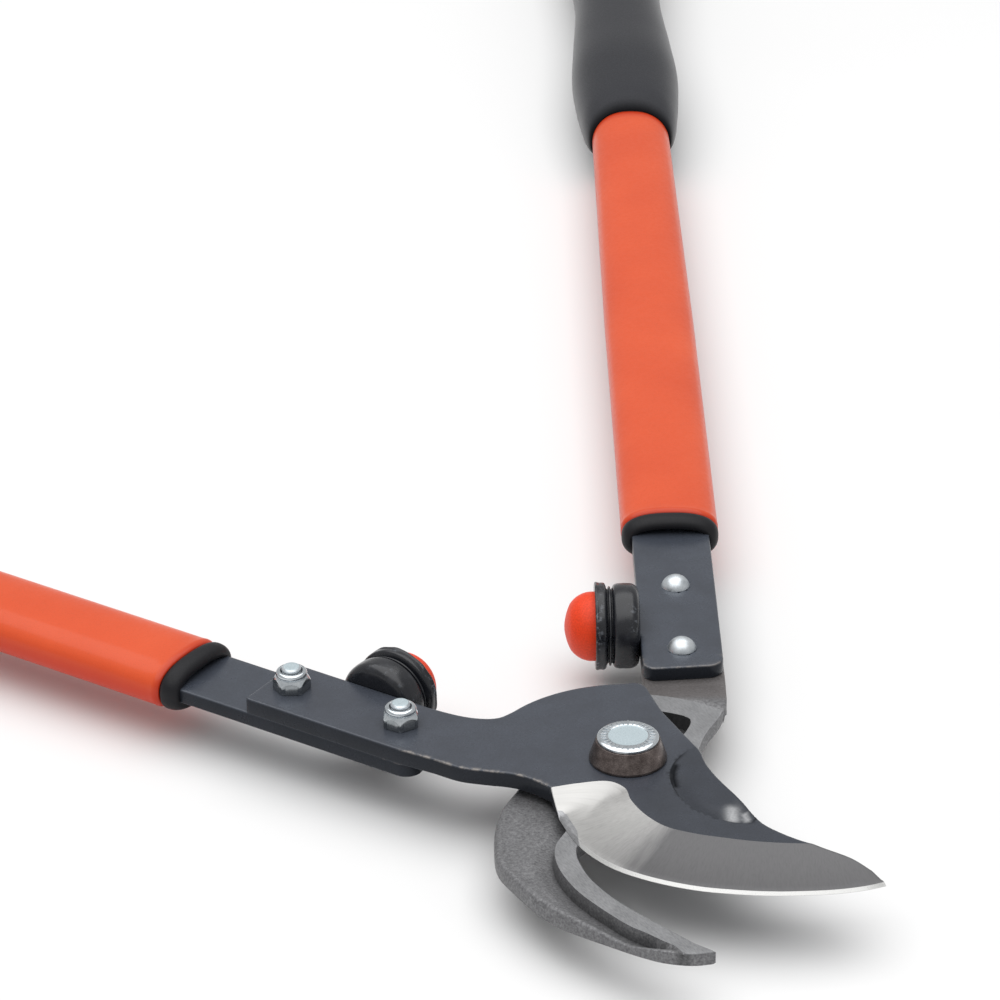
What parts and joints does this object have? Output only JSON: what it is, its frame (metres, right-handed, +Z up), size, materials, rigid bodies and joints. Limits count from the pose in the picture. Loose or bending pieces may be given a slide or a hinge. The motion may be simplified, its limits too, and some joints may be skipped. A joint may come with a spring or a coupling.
{
  "type": "pruning shears",
  "caption": "Long-handled bypass pruning shears: curved cutting blade and hooked counter blade on one pivot, oval tube handles, rubber bumpers and soft grips.",
  "frame": {"origin": "on the pivot axis, at the end of the pivot bolt, in the plane that the shears lie on", "axes": "+Z up along the pivot axis, +Y midway between the two handles, blades towards -Y, cutting blade's handle on the -X side"},
  "size_m": [0.7114, 0.7084, 0.0345],
  "materials": {
    "blade_steel": "dark phosphate with a bright ground bevel and honed edge",
    "forged_steel": "granular forging with finely ground lands",
    "bar_steel": "dark phosphate",
    "cone_steel": "burnished, brownish",
    "zinc_steel": "bright zinc plate",
    "nylon_ring": "satin",
    "cup_rubber": "semi-gloss",
    "orange_plug": "fine grain, satin",
    "ferrule_plastic": "satin black",
    "orange_paint": "gloss powder coat",
    "grip_plastic": "soft matte"
  },
  "bodies": {
    "counter_blade_half": {"counter_blade": "forged_steel", "pivot_bolt": "zinc_steel", "pivot_cone_washer": "cone_steel", "pivot_washer": "zinc_steel", "pivot_nut": "zinc_steel", "pivot_nut_ring": "nylon_ring", "right_tang_bar": "bar_steel", "right_tang_bolts": "zinc_steel", "right_tang_nuts": "zinc_steel", "right_nut_rings": "nylon_ring", "right_bumper_cup": "cup_rubber", "right_bumper_plug": "orange_plug", "right_ferrule": "ferrule_plastic", "right_tube": "orange_paint", "right_grip": "grip_plastic"},
    "cutting_blade_half": {"cutting_blade": "blade_steel", "left_tang_bar": "bar_steel", "left_tang_bolts": "zinc_steel", "left_tang_nuts": "zinc_steel", "left_nut_rings": "nylon_ring", "left_bumper_cup": "cup_rubber", "left_bumper_plug": "orange_plug", "left_ferrule": "ferrule_plastic", "left_tube": "orange_paint", "left_grip": "grip_plastic"}
  },
  "joints": [
    {"name": "blade_pivot", "type": "hinge", "parent": "counter_blade_half", "child": "cutting_blade_half", "pos_m": [0, 0, 0.0195], "axis": [0, 0, 1], "range_deg": [-34.4, 30]}
  ]
}
